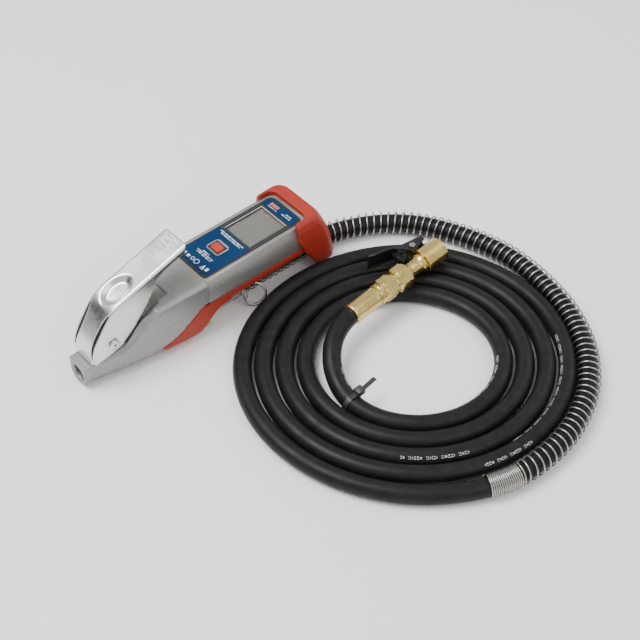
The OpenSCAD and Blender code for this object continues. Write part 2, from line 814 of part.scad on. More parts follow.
module swivel_nut() color([0.79, 0.71, 0.43]) on_chuck() {
    difference() {
        intersection() {
            hex_bar(28.7, 41, hex_af - 1);
            union() {
                translate([28.5, 0, 0])
                    rotate([0, 90, 0])
                        cylinder(h = 2, r1 = hex_af / 2 - 0.8, r2 = hex_af / 2 + 1.6);
                x_cylinder(30.5, 41.1, 0, 0, hex_af / 2 + 1.6);
            }
        }
        x_cylinder(28, 42, 0, 0, shank_r + gap);
    }
}

module chuck_stem() color([0.79, 0.71, 0.43]) on_chuck() {
    difference() {
        union() {
            x_cylinder(28.55, 42.5, 0, 0, shank_r);
            x_cylinder(41.2, 42.5, 0, 0, hex_af / 2 - 1.2);
            intersection() {
                hex_bar(42.4, 55, hex_af);
                x_cylinder(42.4, 55, 0, 0, hex_af / 2 + 0.9);
            }
            translate([55, 0, 0])
                rotate([0, 90, 0])
                    cylinder(h = 4, r1 = hex_af / 2 - 1.5, r2 = 5.2);
            x_cylinder(58.9, 68, 0, 0, 5.2);
            x_cylinder(68, 70.4, 0, 0, 6.6);
        }
        x_cylinder(28, 80, 0, 0, air_r);
    }
}

module chuck_head() color([0.79, 0.71, 0.43]) on_chuck() {
    difference() {
        union() {
            x_cylinder(70.45, 89, 0, 0, head_d / 2);
            // Lug that carries the clip's rivet
            box([rivet_pos[0] - 3, 5, -4.4], [rivet_pos[0] + 3.6, rivet_pos[1] + 2.8, 4.4]);
        }
        x_cylinder(76, 90, 0, 0, valve_bore_d / 2);
        x_cylinder(73, 77, 0, 0, 3.9);
        x_cylinder(70, 74, 0, 0, air_r);
        // Slot for the clip's tooth
        box([80.5, 3, -2.4], [84.5, 12, 2.4]);
        translate([rivet_pos[0], rivet_pos[1], -10])
            cylinder(h = 20, r = 1.3);
    }
}

module clip_lever() color([0.1, 0.1, 0.1]) on_chuck() {
    difference() {
        union() {
            for (z = [-6, 4.8])
                translate([0, 0, z])
                    linear_extrude(1.2)
                        polygon([
                            [46, 24.6], [62, 19.4], [66, 14.6], [70, 8.6], [78, 8.6],
                            [85, 10.6], [85, 14.4], [70, 17.4], [62, 21.6], [46, 26.8]
                        ]);
            translate([0, 0, -6])
                linear_extrude(12)
                    polygon([[44, 25.4], [61, 20], [66, 18.4], [66.4, 19.8], [61.6, 21.4], [44.4, 27]]);
            // Web and tooth
            translate([0, 0, -6])
                linear_extrude(12)
                    polygon([[79, 12.9], [85, 11.8], [85, 14.4], [79, 15.6]]);
            translate([0, 0, -2])
                linear_extrude(4)
                    polygon([[81, 13], [81, 5.4], [82, 5.2], [83.6, 6.6], [84, 12.6]]);
        }
        translate([rivet_pos[0], rivet_pos[1], -10])
            cylinder(h = 20, r = 1.25);
    }
}

module clip_rivet() color([0.85, 0.85, 0.85]) on_chuck() {
    translate([rivet_pos[0], rivet_pos[1], 0]) {
        translate([0, 0, -6.4])
            cylinder(h = 12.8, r = 1.2);
        translate([0, 0, 6.3])
            cylinder(h = 0.8, r = 2.2);
        translate([0, 0, -7.1])
            cylinder(h = 0.8, r = 2.2);
    }
}

module clip_spring() color([0.8, 0.7, 0.4]) on_chuck() {
    for (i = [0:5])
        translate([62.5, 8.2 + 1.94 * i, 0])
            rotate([90, 0, 0])
                rotate_extrude()
                    translate([2.2, 0])
                        circle(r = 0.35, $fn = 16);
}

module valve_washer() color([0.1, 0.1, 0.1]) on_chuck() {
    difference() {
        x_cylinder(73.2, 76, 0, 0, 3.8);
        x_cylinder(72, 78, 0, 0, 1.6);
    }
}

// ---------------------------------------------------------------- assembly

front_casting();
inlet_filter();
lever_pin();
trigger_lever();
valve_plunger();
valve_spring();
valve_seat();
outlet_fitting();
upper_casing();
lower_casing();
casing_screws();
red_boot();
rear_bumper();
bezel();
display_window();
display_module();
front_label();
rear_label();
button_surround();
power_button();
button_switch();
circuit_board();
pressure_sensor();
battery_left();
battery_right();
battery_contacts();
hook_bail();
hanging_ring();
hose_run();
hose_coil();
hose_tail();
guard_front_end();
guard_rear_end();
cable_tie();
hose_ferrule();
swivel_nut();
chuck_stem();
chuck_head();
clip_lever();
clip_rivet();
clip_spring();
valve_washer();
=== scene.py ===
"""Visual model of a hand-held tyre inflator with a guarded hose wound into a flat coil."""
import math
import bmesh
import bpy
from mathutils import Matrix, Vector


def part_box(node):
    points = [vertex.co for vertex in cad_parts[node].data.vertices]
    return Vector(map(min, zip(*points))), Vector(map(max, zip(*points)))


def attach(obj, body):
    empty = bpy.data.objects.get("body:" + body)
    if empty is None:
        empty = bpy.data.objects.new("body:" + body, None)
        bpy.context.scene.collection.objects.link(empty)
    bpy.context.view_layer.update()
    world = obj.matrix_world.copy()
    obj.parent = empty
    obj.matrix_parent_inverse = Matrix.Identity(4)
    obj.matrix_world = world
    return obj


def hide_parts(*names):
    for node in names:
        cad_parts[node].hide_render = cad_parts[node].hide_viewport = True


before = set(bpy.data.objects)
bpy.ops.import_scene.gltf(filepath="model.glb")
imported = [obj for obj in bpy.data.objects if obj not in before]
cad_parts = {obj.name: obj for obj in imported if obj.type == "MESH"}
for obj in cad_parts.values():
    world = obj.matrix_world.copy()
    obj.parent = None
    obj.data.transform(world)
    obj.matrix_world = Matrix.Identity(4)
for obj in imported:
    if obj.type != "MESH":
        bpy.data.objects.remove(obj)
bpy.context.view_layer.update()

MM = 0.001

# ------------------------------------------------------------------ small helpers


def mm(*values):
    """A point given in millimetres, as a vector in metres."""
    return Vector(values) * MM


def lerp(a, b, t):
    return a + (b - a) * t


def smoothstep(t):
    t = min(max(t, 0.0), 1.0)
    return t * t * (3 - 2 * t)


def catmull(points, per):
    """Smooth curve through the points, with per samples to each stretch."""
    pts = [2 * points[0] - points[1]] + list(points) + [2 * points[-1] - points[-2]]
    out = []
    for i in range(1, len(pts) - 2):
        a, b, c, d = pts[i - 1 : i + 3]
        for k in range(per):
            t = k / per
            square = 2 * a - 5 * b + 4 * c - d
            cube = 3 * b - a - 3 * c + d
            out.append(0.5 * (2 * b + (c - a) * t + square * t * t + cube * t**3))
    out.append(points[-1])
    return out


def lengths(points):
    """Distance along the line to each point."""
    out = [0.0]
    for a, b in zip(points, points[1:]):
        out.append(out[-1] + (b - a).length)
    return out


def resample(points, step):
    """The same line with points an even step apart."""
    along = lengths(points)
    count = max(2, round(along[-1] / step) + 1)
    out, i = [], 0
    for k in range(count):
        s = along[-1] * k / (count - 1)
        while i < len(points) - 2 and along[i + 1] < s:
            i += 1
        span = along[i + 1] - along[i]
        out.append(points[i].lerp(points[i + 1], (s - along[i]) / span if span else 0))
    return out


def frames(points):
    """A side and an up vector at each point, turning as little as they can."""
    out, side = [], None
    for i, p in enumerate(points):
        d = (points[min(i + 1, len(points) - 1)] - points[max(i - 1, 0)]).normalized()
        if side is None:
            side = d.cross(Vector((0, 0, 1)))
        side = (side - d * side.dot(d)).normalized()
        out.append((side, side.cross(d)))
    return out


def new_mesh(name, verts, faces, mat, body, smooth=True):
    """A piece made of these vertices and faces, which rides on a body."""
    mesh = bpy.data.meshes.new(name)
    mesh.from_pydata([tuple(v) for v in verts], [], faces)
    mesh.validate()
    mesh.update()
    piece = bpy.data.objects.new(name, mesh)
    bpy.context.scene.collection.objects.link(piece)
    finish_piece(piece, mat, body, smooth)
    return piece


def finish_piece(piece, mat, body, smooth=True):
    """Gives a piece its material, its shading, its body and the material slot it belongs to."""
    piece.data.materials.clear()
    piece.data.materials.append(mat)
    for polygon in piece.data.polygons:
        polygon.use_smooth = smooth
    if body:
        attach(piece, body)


def tube(points, radius, sides):
    """Vertices and faces of a round closed tube; radius is a number or a function of the ring's number."""
    verts, faces = [], []
    for i, (p, (side, up)) in enumerate(zip(points, frames(points))):
        r = radius(i) if callable(radius) else radius
        for k in range(sides):
            a = 2 * math.pi * k / sides
            verts.append(p + r * (math.cos(a) * side + math.sin(a) * up))
    count = len(points)
    for i in range(count - 1):
        for k in range(sides):
            a, b = i * sides + k, i * sides + (k + 1) % sides
            faces.append((a, b, b + sides, a + sides))
    faces.append(tuple(range(sides - 1, -1, -1)))
    faces.append(tuple(range((count - 1) * sides, count * sides)))
    return verts, faces


def loop_faces(around, sides):
    """Faces of cross-sections that close on themselves in a ring."""
    faces = []
    for i in range(around):
        here, there = i * sides, (i + 1) % around * sides
        for k in range(sides):
            turn = (k + 1) % sides
            faces.append((here + k, there + k, there + turn, here + turn))
    return faces


def ring_tube(centre, axis, radius, wire, around, sides):
    """Vertices and faces of a closed ring of wire."""
    axis = axis.normalized()
    side = axis.orthogonal().normalized()
    up = axis.cross(side)
    verts = []
    for i in range(around):
        a = 2 * math.pi * i / around
        out = math.cos(a) * side + math.sin(a) * up
        for k in range(sides):
            b = 2 * math.pi * k / sides
            verts.append(centre + (radius + wire * math.cos(b)) * out + wire * math.sin(b) * axis)
    return verts, loop_faces(around, sides)


def evaluated(piece):
    """Replaces a piece's mesh with the result of its modifiers."""
    depsgraph = bpy.context.evaluated_depsgraph_get()
    mesh = bpy.data.meshes.new_from_object(piece.evaluated_get(depsgraph))
    piece.modifiers.clear()
    old = piece.data
    piece.data = mesh
    bpy.data.meshes.remove(old)


def cad_copy(name, node):
    """A new object with the mesh of a CAD node, its doubled corners merged."""
    merged = bmesh.new()
    merged.from_mesh(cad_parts[node].data)
    bmesh.ops.remove_doubles(merged, verts=merged.verts, dist=0.002 * MM)
    mesh = bpy.data.meshes.new(name)
    merged.to_mesh(mesh)
    merged.free()
    piece = bpy.data.objects.new(name, mesh)
    bpy.context.scene.collection.objects.link(piece)
    return piece


def smooth_out(piece, rounds):
    soft = piece.modifiers.new("soft", "SMOOTH")
    soft.factor = 0.5
    soft.iterations = rounds
    evaluated(piece)


def melt(piece, voxel, rounds):
    """Remeshes a piece evenly and rounds its edges off, like a casting or a moulding."""
    remesh = piece.modifiers.new("even", "REMESH")
    remesh.mode = "VOXEL"
    remesh.voxel_size = voxel
    smooth_out(piece, rounds)


def shade_by_angle(piece, degrees=35):
    """Flat across sharp edges and smooth elsewhere."""
    piece.data.set_sharp_from_angle(angle=math.radians(degrees))


def soften(piece, width, segments, angle):
    """Bevels the sharp edges of a piece with flat faces."""
    clean = bmesh.new()
    clean.from_mesh(piece.data)
    bmesh.ops.dissolve_limit(clean, angle_limit=math.radians(1), verts=clean.verts, edges=clean.edges)
    clean.to_mesh(piece.data)
    clean.free()
    bevel = piece.modifiers.new("edges", "BEVEL")
    bevel.width = width
    bevel.segments = segments
    bevel.limit_method = "ANGLE"
    bevel.angle_limit = math.radians(angle)
    bevel.harden_normals = True
    bevel.use_clamp_overlap = True
    evaluated(piece)


def softened(name, node, mat, width, body="body", segments=2, angle=28):
    """A copy of a CAD node with its sharp edges bevelled."""
    piece = cad_copy(name, node)
    soften(piece, width, segments, angle)
    finish_piece(piece, mat, body)
    shade_by_angle(piece, 30)
    return piece


def softened_node(name, node, mat, width, body="body"):
    """A softened copy in place of its CAD node."""
    piece = softened(name, node, mat, width, body)
    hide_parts(node)


def melted(name, node, mat, voxel, rounds):
    """A copy of a CAD node, rounded like a casting or a moulding."""
    piece = cad_copy(name, node)
    melt(piece, voxel, rounds)
    finish_piece(piece, mat, "body")
    return piece


def turned(stations, radius, sides):
    """Open surface along +X: radius(i, angle) at station i of x."""
    verts, faces = [], []
    for i, x in enumerate(stations):
        for k in range(sides):
            a = 2 * math.pi * k / sides
            r = radius(i, a)
            verts.append(Vector((x, r * math.cos(a), r * math.sin(a))))
    for i in range(len(stations) - 1):
        for k in range(sides):
            a, b = i * sides + k, i * sides + (k + 1) % sides
            faces.append((a, a + sides, b + sides, b))
    return verts, faces


def polar(stations, radius, sides):
    """Closed surface along +X: radius(x, angle) at each station of x, capped at both ends."""
    verts, faces = turned(stations, lambda i, a: radius(stations[i], a), sides)
    last = (len(stations) - 1) * sides
    faces.append(tuple(range(sides)))
    faces.append(tuple(range(last + sides - 1, last - 1, -1)))
    return verts, faces


def lathe(profile, sides=64, along=MM, out=MM):
    """Surface turned round X from (x, radius) points, whose units are along and out."""
    return turned([x * along for x, _ in profile], lambda i, _: profile[i][1] * out, sides)


# ------------------------------------------------------------------ materials


def shader(name, color, roughness, metallic=0.0, **sockets):
    """A material and its Principled node."""
    mat = bpy.data.materials.new(name)
    mat.use_nodes = True
    node = mat.node_tree.nodes["Principled BSDF"]
    node.inputs["Base Color"].default_value = (*color, 1)
    node.inputs["Roughness"].default_value = roughness
    node.inputs["Metallic"].default_value = metallic
    for key, value in sockets.items():
        node.inputs[key.replace("_", " ")].default_value = value
    return mat, node


def noise(mat, scale, detail=4, stretch=(1, 1, 1)):
    """A noise texture in the object's own space, as its Fac socket."""
    tree = mat.node_tree
    coord = tree.nodes.new("ShaderNodeTexCoord")
    mapping = tree.nodes.new("ShaderNodeMapping")
    mapping.inputs["Scale"].default_value = stretch
    tex = tree.nodes.new("ShaderNodeTexNoise")
    tex.inputs["Scale"].default_value = scale
    tex.inputs["Detail"].default_value = detail
    tree.links.new(coord.outputs["Object"], mapping.inputs["Vector"])
    tree.links.new(mapping.outputs["Vector"], tex.inputs["Vector"])
    return tex.outputs["Fac"]


def ramp(mat, source, low, high):
    """Maps a 0 to 1 value onto colours."""
    node = mat.node_tree.nodes.new("ShaderNodeValToRGB")
    node.color_ramp.elements[0].position = low[0]
    node.color_ramp.elements[0].color = (*low[1], 1)
    node.color_ramp.elements[1].position = high[0]
    node.color_ramp.elements[1].color = (*high[1], 1)
    mat.node_tree.links.new(source, node.inputs["Fac"])
    return node.outputs["Color"]


def grey(value):
    return (value, value, value)


def tint(mat, node, source, dark, light, low=0.35, high=0.65):
    """Varies the base colour between two colours."""
    mat.node_tree.links.new(ramp(mat, source, (low, dark), (high, light)), node.inputs["Base Color"])


def wear(mat, node, source, low, high):
    """Varies the roughness between two values."""
    out = ramp(mat, source, (0.3, grey(low)), (0.7, grey(high)))
    mat.node_tree.links.new(out, node.inputs["Roughness"])


def bump(mat, node, source, strength, distance):
    out = mat.node_tree.nodes.new("ShaderNodeBump")
    out.inputs["Strength"].default_value = strength
    out.inputs["Distance"].default_value = distance
    mat.node_tree.links.new(source, out.inputs["Height"])
    mat.node_tree.links.new(out.outputs["Normal"], node.inputs["Normal"])


def cast_material():
    mat, node = shader("cast alloy", (0.33, 0.325, 0.31), 0.42, 0.6)
    tint(mat, node, noise(mat, 1500, 6), (0.24, 0.235, 0.225), (0.36, 0.355, 0.34))
    wear(mat, node, noise(mat, 800, 4), 0.36, 0.48)
    bump(mat, node, noise(mat, 1700, 4), 0.45, 0.00012)
    return mat


def polished_material():
    mat, node = shader("polished steel", (0.74, 0.735, 0.72), 0.26, 1.0)
    wear(mat, node, noise(mat, 60, 4), 0.22, 0.34)
    bump(mat, node, noise(mat, 900, 4, (1, 8, 1)), 0.05, 0.00003)
    return mat


def wire_material():
    mat, node = shader("spring wire", (0.4, 0.39, 0.37), 0.22, 1.0)
    wear(mat, node, noise(mat, 500, 3), 0.2, 0.36)
    return mat


def brass_material():
    mat, node = shader("brass", (0.66, 0.5, 0.17), 0.22, 1.0)
    tint(mat, node, noise(mat, 160, 5), (0.6, 0.45, 0.14), (0.72, 0.56, 0.21))
    wear(mat, node, noise(mat, 240, 4), 0.2, 0.33)
    bump(mat, node, noise(mat, 1300, 3), 0.06, 0.00003)
    return mat


def hose_material():
    mat, node = shader("hose rubber", (0.008, 0.008, 0.0082), 0.42, 0.0, Specular_IOR_Level=0.2)
    tint(mat, node, noise(mat, 150, 5), (0.006, 0.006, 0.0062), (0.01, 0.01, 0.0103))
    wear(mat, node, noise(mat, 70, 4), 0.36, 0.52)
    bump(mat, node, noise(mat, 1200, 4), 0.12, 0.00006)
    return mat


def red_material():
    mat, node = shader("red rubber", (0.36, 0.025, 0.012), 0.5, 0.0, Specular_IOR_Level=0.4)
    tint(mat, node, noise(mat, 1100, 6), (0.25, 0.016, 0.008), (0.4, 0.029, 0.014))
    bump(mat, node, noise(mat, 1500, 4), 0.5, 0.00014)
    return mat


def plain(name, color, roughness, metallic=0.0, vary=0.12, scale=300, **sockets):
    """A material with a little colour variation and a fine grain."""
    mat, node = shader(name, color, roughness, metallic, **sockets)
    dark = tuple(c * (1 - vary) for c in color)
    light = tuple(min(1, c * (1 + vary)) for c in color)
    tint(mat, node, noise(mat, scale, 4), dark, light)
    bump(mat, node, noise(mat, scale * 6, 3), 0.08, 0.00004)
    return mat


CAST = cast_material()
POLISHED = polished_material()
WIRE = wire_material()
BRASS = brass_material()
HOSE = hose_material()
RED = red_material()
BLACK_STEEL = plain("black steel", (0.012, 0.012, 0.013), 0.35, 0.3)
BEZEL = plain("bezel plastic", (0.03, 0.03, 0.033), 0.45, 0.0, Specular_IOR_Level=0.25)
SURROUND = plain("surround", (0.36, 0.36, 0.37), 0.34, 0.6)
BLUE = plain("blue label", (0.001, 0.028, 0.09), 0.5, 0.0, 0.06, Specular_IOR_Level=0.12)
PRINT = plain("white print", (0.8, 0.82, 0.84), 0.5, 0.0, 0.03)
HOSE_PRINT = plain("hose print", (0.42, 0.42, 0.42), 0.6, 0.0, 0.2, 900)
ORANGE_PRINT = plain("orange print", (0.7, 0.13, 0.05), 0.5, 0.0, 0.03)
# Flat pale grey that paints a highlight on the display rim's far and rear bars.
RIM_HIGHLIGHT = plain("painted rim highlight", (0.6, 0.6, 0.58), 0.4, 0.0, 0.04)
DISPLAY = plain("display", (0.21, 0.2, 0.18), 0.5, 0.0, 0.03, 80)
BUTTON = plain("button", (0.42, 0.03, 0.014), 0.45, 0.0, 0.06)
DARK_PLASTIC = plain("dark plastic", (0.02, 0.02, 0.02), 0.45, 0.0)
BOARD = plain("circuit board", (0.02, 0.12, 0.05), 0.4, 0.0)
BATTERY = plain("battery sleeve", (0.03, 0.14, 0.11), 0.3, 0.4)
GLASS, _ = shader("clear window", (0.95, 0.96, 0.96), 0.06, 0.0, Transmission_Weight=1.0, IOR=1.3)

# ------------------------------------------------------------------ camera, light and floor

CAMERA_LENS, CAMERA_SENSOR = 80.6, 36
CAMERA_AT, CAMERA_AIM = mm(-388, -567.3, 720.4), mm(53.9, -61.3, 0)
DARK_CARD, CARD_OUTER, CARD_INNER, WORLD_STRENGTH = (-0.78, 0.6, 0.14), 0.88, 0.97, 0.85
FLOOR_HALF, FLOOR_DROP = 3, 0.1 * MM


def add_camera():
    data = bpy.data.cameras.new("camera")
    data.lens = CAMERA_LENS
    data.sensor_width = CAMERA_SENSOR
    camera = bpy.data.objects.new("camera", data)
    camera.location = CAMERA_AT
    aim = CAMERA_AIM - camera.location
    camera.rotation_euler = aim.to_track_quat("-Z", "Y").to_euler()
    bpy.context.scene.collection.objects.link(camera)
    bpy.context.scene.camera = camera


def add_area(name, place, aim, size, watts):
    data = bpy.data.lights.new(name, "AREA")
    data.size = size
    data.energy = watts
    light = bpy.data.objects.new(name, data)
    light.location = place
    light.rotation_euler = (Vector(aim) - Vector(place)).to_track_quat("-Z", "Y").to_euler()
    bpy.context.scene.collection.objects.link(light)


def add_world():
    """Even pale surroundings with one soft dark card low beyond the lever."""
    world = bpy.data.worlds.new("studio")
    world.use_nodes = True
    tree = world.node_tree
    coord = tree.nodes.new("ShaderNodeTexCoord")
    facing = tree.nodes.new("ShaderNodeVectorMath")
    facing.operation = "DOT_PRODUCT"
    facing.inputs[1].default_value = Vector(DARK_CARD).normalized()
    card = tree.nodes.new("ShaderNodeValToRGB")
    card.color_ramp.elements[0].position = CARD_OUTER
    card.color_ramp.elements[0].color = (1, 0.99, 0.97, 1)
    card.color_ramp.elements[1].position = CARD_INNER
    card.color_ramp.elements[1].color = (0.02, 0.02, 0.02, 1)
    tree.links.new(coord.outputs["Generated"], facing.inputs[0])
    tree.links.new(facing.outputs["Value"], card.inputs["Fac"])
    tree.links.new(card.outputs["Color"], tree.nodes["Background"].inputs["Color"])
    tree.nodes["Background"].inputs["Strength"].default_value = WORLD_STRENGTH
    bpy.context.scene.world = world


def add_floor():
    mat = plain("floor", (0.93, 0.93, 0.93), 0.7, 0.0, 0.01, 5)
    verts = [(x * FLOOR_HALF, y * FLOOR_HALF, 0) for x, y in ((-1, -1), (1, -1), (1, 1), (-1, 1))]
    floor = new_mesh("floor", verts, [(0, 1, 2, 3)], mat, None, False)
    floor.location.z = -FLOOR_DROP


add_camera()
add_area("key", (-0.55, 0.35, 1.45), (0, -0.05, 0), 0.9, 30)
add_area("fill", (0.15, -1.1, 1.1), (0.0, -0.05, 0), 0.9, 5)
add_area("side", (1.2, -0.2, 0.9), (0.05, -0.1, 0), 0.8, 3)
add_world()
add_floor()

# ------------------------------------------------------------------ hose

HOSE_R = 6.35 * MM
# Centreline of the guarded stretch, in millimetres, from the outlet to where the coil begins.
ROUTE = [
    (2, -5.8, 10.3), (12, -5.8, 10.3), (26, -5.2, 9.5), (40, -4.6, 9), (55, -4.4, 8.7), (70, -4.4, 8.5),
    (85, -4.6, 8.3), (100, -5.2, 8.1), (114, -8, 8), (125, -12, 8), (137, -18, 8), (148, -25, 8),
    (158, -34, 8), (166, -43, 8), (172, -53, 8), (178, -65, 8), (183, -77, 8), (187, -90, 8),
    (190, -104, 8), (191, -118, 8), (190, -132, 8), (188, -147, 8), (185, -162, 8), (180, -177, 8),
    (173, -191, 8), (165, -204, 8), (155, -215, 8), (143, -226, 8), (130, -234, 8), (116, -240, 8),
    (101, -245, 8), (86, -247, 8), (71, -247.5, 8), (57, -246.5, 8), (45, -243.5, 7.8),
    (36, -240.5, 7),
]
CHUCK_AT, CHUCK_TURN = (59.2, -86.7, 21.7), math.radians(4.3)
COIL_CENTRE = (71.3, -132.4)
COIL_R, COIL_PITCH, COIL_RATIO = 119, 14.1, 0.94
COIL_TURN = math.radians(-41.13)
COIL_FROM, COIL_TO, COIL_Z = 0.2, 4.3, 6.38
COIL_STEPS_PER_TURN = 24
FLARE, FLARE_END, FLARE_SPAN = 3.2, 0.42, 0.22
DENT, DENT_MIDDLE, DENT_HALF, DENT_TURNS = 3.8, 228, 60, 3
TAIL_TURN_STEP, TAIL_TURN_STEPS, TAIL_BEND_STEPS, TAIL_BEND = 0.025, 3, 9, 47
HOSE_STEP, HOSE_ROUNDS = 4 * MM, 7


def coil_point(t):
    """Point of the coil's centreline; t counts turns clockwise from the coil's right.

    The first turn flares out where the hose comes in, and the outer turns are dented on one side.
    """
    r = COIL_R - COIL_PITCH * t
    if t < FLARE_END:
        r += FLARE * ((FLARE_END - t) / FLARE_SPAN) ** 2
    a = 360 * (t - math.floor(t)) - DENT_MIDDLE
    if abs(a) < DENT_HALF and t < DENT_TURNS:
        r -= DENT * (1 - t / DENT_TURNS) * math.cos(math.radians(90 / DENT_HALF * a)) ** 2
    x = r * math.cos(2 * math.pi * t)
    y = -COIL_RATIO * r * math.sin(2 * math.pi * t)
    c, s = math.cos(COIL_TURN), math.sin(COIL_TURN)
    return mm(COIL_CENTRE[0] + x * c - y * s, COIL_CENTRE[1] + x * s + y * c, COIL_Z)


def tail_point(i, steps):
    """Point of the tail: it follows the last turn, then climbs on one even bend to the connector."""
    if i <= TAIL_TURN_STEPS:
        p = coil_point(COIL_TO + TAIL_TURN_STEP * i)
    else:
        a = math.pi - (math.pi / 2 - CHUCK_TURN) * (i - TAIL_TURN_STEPS) / TAIL_BEND_STEPS
        x = CHUCK_AT[0] + TAIL_BEND * (math.sin(CHUCK_TURN) + math.cos(a))
        p = mm(x, CHUCK_AT[1] + TAIL_BEND * (math.sin(a) - math.cos(CHUCK_TURN)), 0)
    f = i / steps
    climb = 2 * f * f if f < 0.5 else 1 - 2 * (1 - f) ** 2
    p.z = lerp(COIL_Z, CHUCK_AT[2], climb) * MM
    return p


def relax(points, rounds):
    """Evens out the bends of a line whose ends stay."""
    for _ in range(rounds):
        mid = [(a + 2 * b + c) / 4 for a, b, c in zip(points, points[1:], points[2:])]
        points = [points[0], *mid, points[-1]]
    return points


def hose_line():
    """Centreline of the whole hose, from the outlet to the connector."""
    count = round((COIL_TO - COIL_FROM) * COIL_STEPS_PER_TURN)
    coil = [coil_point(COIL_FROM + (COIL_TO - COIL_FROM) * i / count) for i in range(count)]
    steps = TAIL_TURN_STEPS + TAIL_BEND_STEPS
    tail = [tail_point(i, steps) for i in range(steps + 1)]
    knots = [mm(*p) for p in ROUTE] + coil + tail
    return resample(relax(resample(catmull(knots, 6), HOSE_STEP), HOSE_ROUNDS), HOSE_STEP)


hose_path = hose_line()
hose_along = lengths(hose_path)
hose_frames = frames(hose_path)
hose = new_mesh("air_hose", *tube(hose_path, HOSE_R, 28), HOSE, "body")
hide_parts("hose_run", "hose_coil", "hose_tail")


def nearest_along(point):
    """Distance along the hose to its point nearest to the given one."""
    best = min(range(len(hose_path)), key=lambda i: (hose_path[i] - point).length)
    return hose_along[best]


def at_along(s):
    """Point, side and up vector at a distance along the hose."""
    step = hose_along[1]
    i = min(max(int(s / step), 0), len(hose_path) - 2)
    t = min(max(s / step - i, 0), 1)
    a, b = hose_frames[i], hose_frames[i + 1]
    return hose_path[i].lerp(hose_path[i + 1], t), a[0].lerp(b[0], t), a[1].lerp(b[1], t)


GUARD_OPEN, GUARD_TIGHT, GUARD_WIRE = 7.8 * MM, 7.2 * MM, 0.6 * MM
GUARD_PITCH, GUARD_CLOSE = 5.3 * MM, 1.32 * MM
GUARD_START, GUARD_CLOSE_RUN, GUARD_TAPER = 0.6 * MM, 20 * MM, 8 * MM
GUARD_CLEAR = 0.1 * MM
GUARD_END = nearest_along(mm(34.5, -240.4, 8))


def guard_line():
    """Winding of the wire guard, which rests on the floor: close at its ends and open between them."""
    points, s, angle, per_turn = [], GUARD_START, 0.0, 20
    while s < GUARD_END:
        edge = min(s, GUARD_END - s)
        loose = smoothstep((edge - GUARD_CLOSE_RUN) / GUARD_TAPER)
        r = lerp(GUARD_TIGHT, GUARD_OPEN, loose)
        p, side, up = at_along(s)
        centre = Vector((p.x, p.y, max(p.z, r + GUARD_WIRE + GUARD_CLEAR)))
        points.append(centre + r * (math.cos(angle) * side + math.sin(angle) * up))
        s += lerp(GUARD_CLOSE, GUARD_PITCH, loose) / per_turn
        angle += 2 * math.pi / per_turn
    return points


guard = new_mesh("wire_guard", *tube(guard_line(), GUARD_WIRE, 8), WIRE, "body")
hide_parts("guard_front_end", "guard_rear_end")


PRINT_WIDTHS = (0.5, 1.3, 0.4, 0.9, 0.5, 1.2, 0.7, 0.4, 1.4, 0.5, 0.8)
PRINT_RUNS = ((0.97, 66, 40), (4.0, 84, 42), (4.37, 17, 46), (2.19, 26, 128), (1.13, 22, 124))
PRINT_GAP, PRINT_WORD_GAP, PRINT_WORD = 0.55, 2.6, 6


def hose_print():
    """Short plain ticks printed along the hose, which stand for its small print.

    Each run has the turn of the coil where it starts, its number of ticks and its angle round the hose.
    """
    verts, faces = [], []
    lift = HOSE_R + 0.04 * MM
    for start, count, turn in PRINT_RUNS:
        s = nearest_along(coil_point(start))
        for n in range(count):
            width = PRINT_WIDTHS[(n * 7) % len(PRINT_WIDTHS)] * MM
            half = 9 if n % 3 else 6
            for ds, da in ((0, -half), (width, -half), (width, half), (0, half)):
                p, side, up = at_along(s + ds)
                a = math.radians(turn + da)
                verts.append(p + lift * (math.cos(a) * side + math.sin(a) * up))
            faces.append(tuple(range(len(verts) - 4, len(verts))))
            s += width + (PRINT_WORD_GAP if n % PRINT_WORD == PRINT_WORD - 1 else PRINT_GAP) * MM
    return verts, faces


marks = new_mesh("hose_marks", *hose_print(), HOSE_PRINT, "body", False)
marks_solid = marks.modifiers.new("film", "SOLIDIFY")
marks_solid.thickness = 0.05 * MM
evaluated(marks)

# ------------------------------------------------------------------ connector

CHUCK = Matrix.Translation(mm(*CHUCK_AT)) @ Matrix.Rotation(CHUCK_TURN, 4, "Z")


def chuck_piece(name, verts, faces, mat, body="body"):
    """A piece given along the connector's own X axis."""
    return new_mesh(name, [CHUCK @ v for v in verts], faces, mat, body)


def spread(a, b, n):
    """Evenly spaced values from a to b."""
    return [lerp(a, b, i / n) for i in range(n + 1)]


HEX_TURN, HEX_CORNER, HEX_CONE = math.radians(12), 1.05, 1.1


def hexagon(af, a):
    """Distance to the side of a hexagon in the direction a."""
    off = (a - HEX_TURN + math.pi / 6) % (math.pi / 3) - math.pi / 6
    return af / 2 / math.cos(off)


FERRULE_R, FERRULE_END = 7.2, 24.5
CRIMP_FROM, CRIMP_TO, CRIMP_RUN, CRIMP_DEPTH, CRIMP_RIDGE = 1.5, 22.5, 2.5, 0.45, 0.34


def ferrule_radius(x, a):
    """Crimped sleeve: shallow flats pressed along it between two rounded rims."""
    x = x / MM
    press = smoothstep((x - CRIMP_FROM) / CRIMP_RUN) * smoothstep((CRIMP_TO - x) / CRIMP_RUN)
    flats = CRIMP_RIDGE * press * abs(math.sin(4 * a)) ** 0.6
    rim = 0.5 * (1 - smoothstep(x / 0.9)) + 0.4 * (1 - smoothstep((FERRULE_END - x) / 0.8))
    return (FERRULE_R - rim - CRIMP_DEPTH * press + flats) * MM


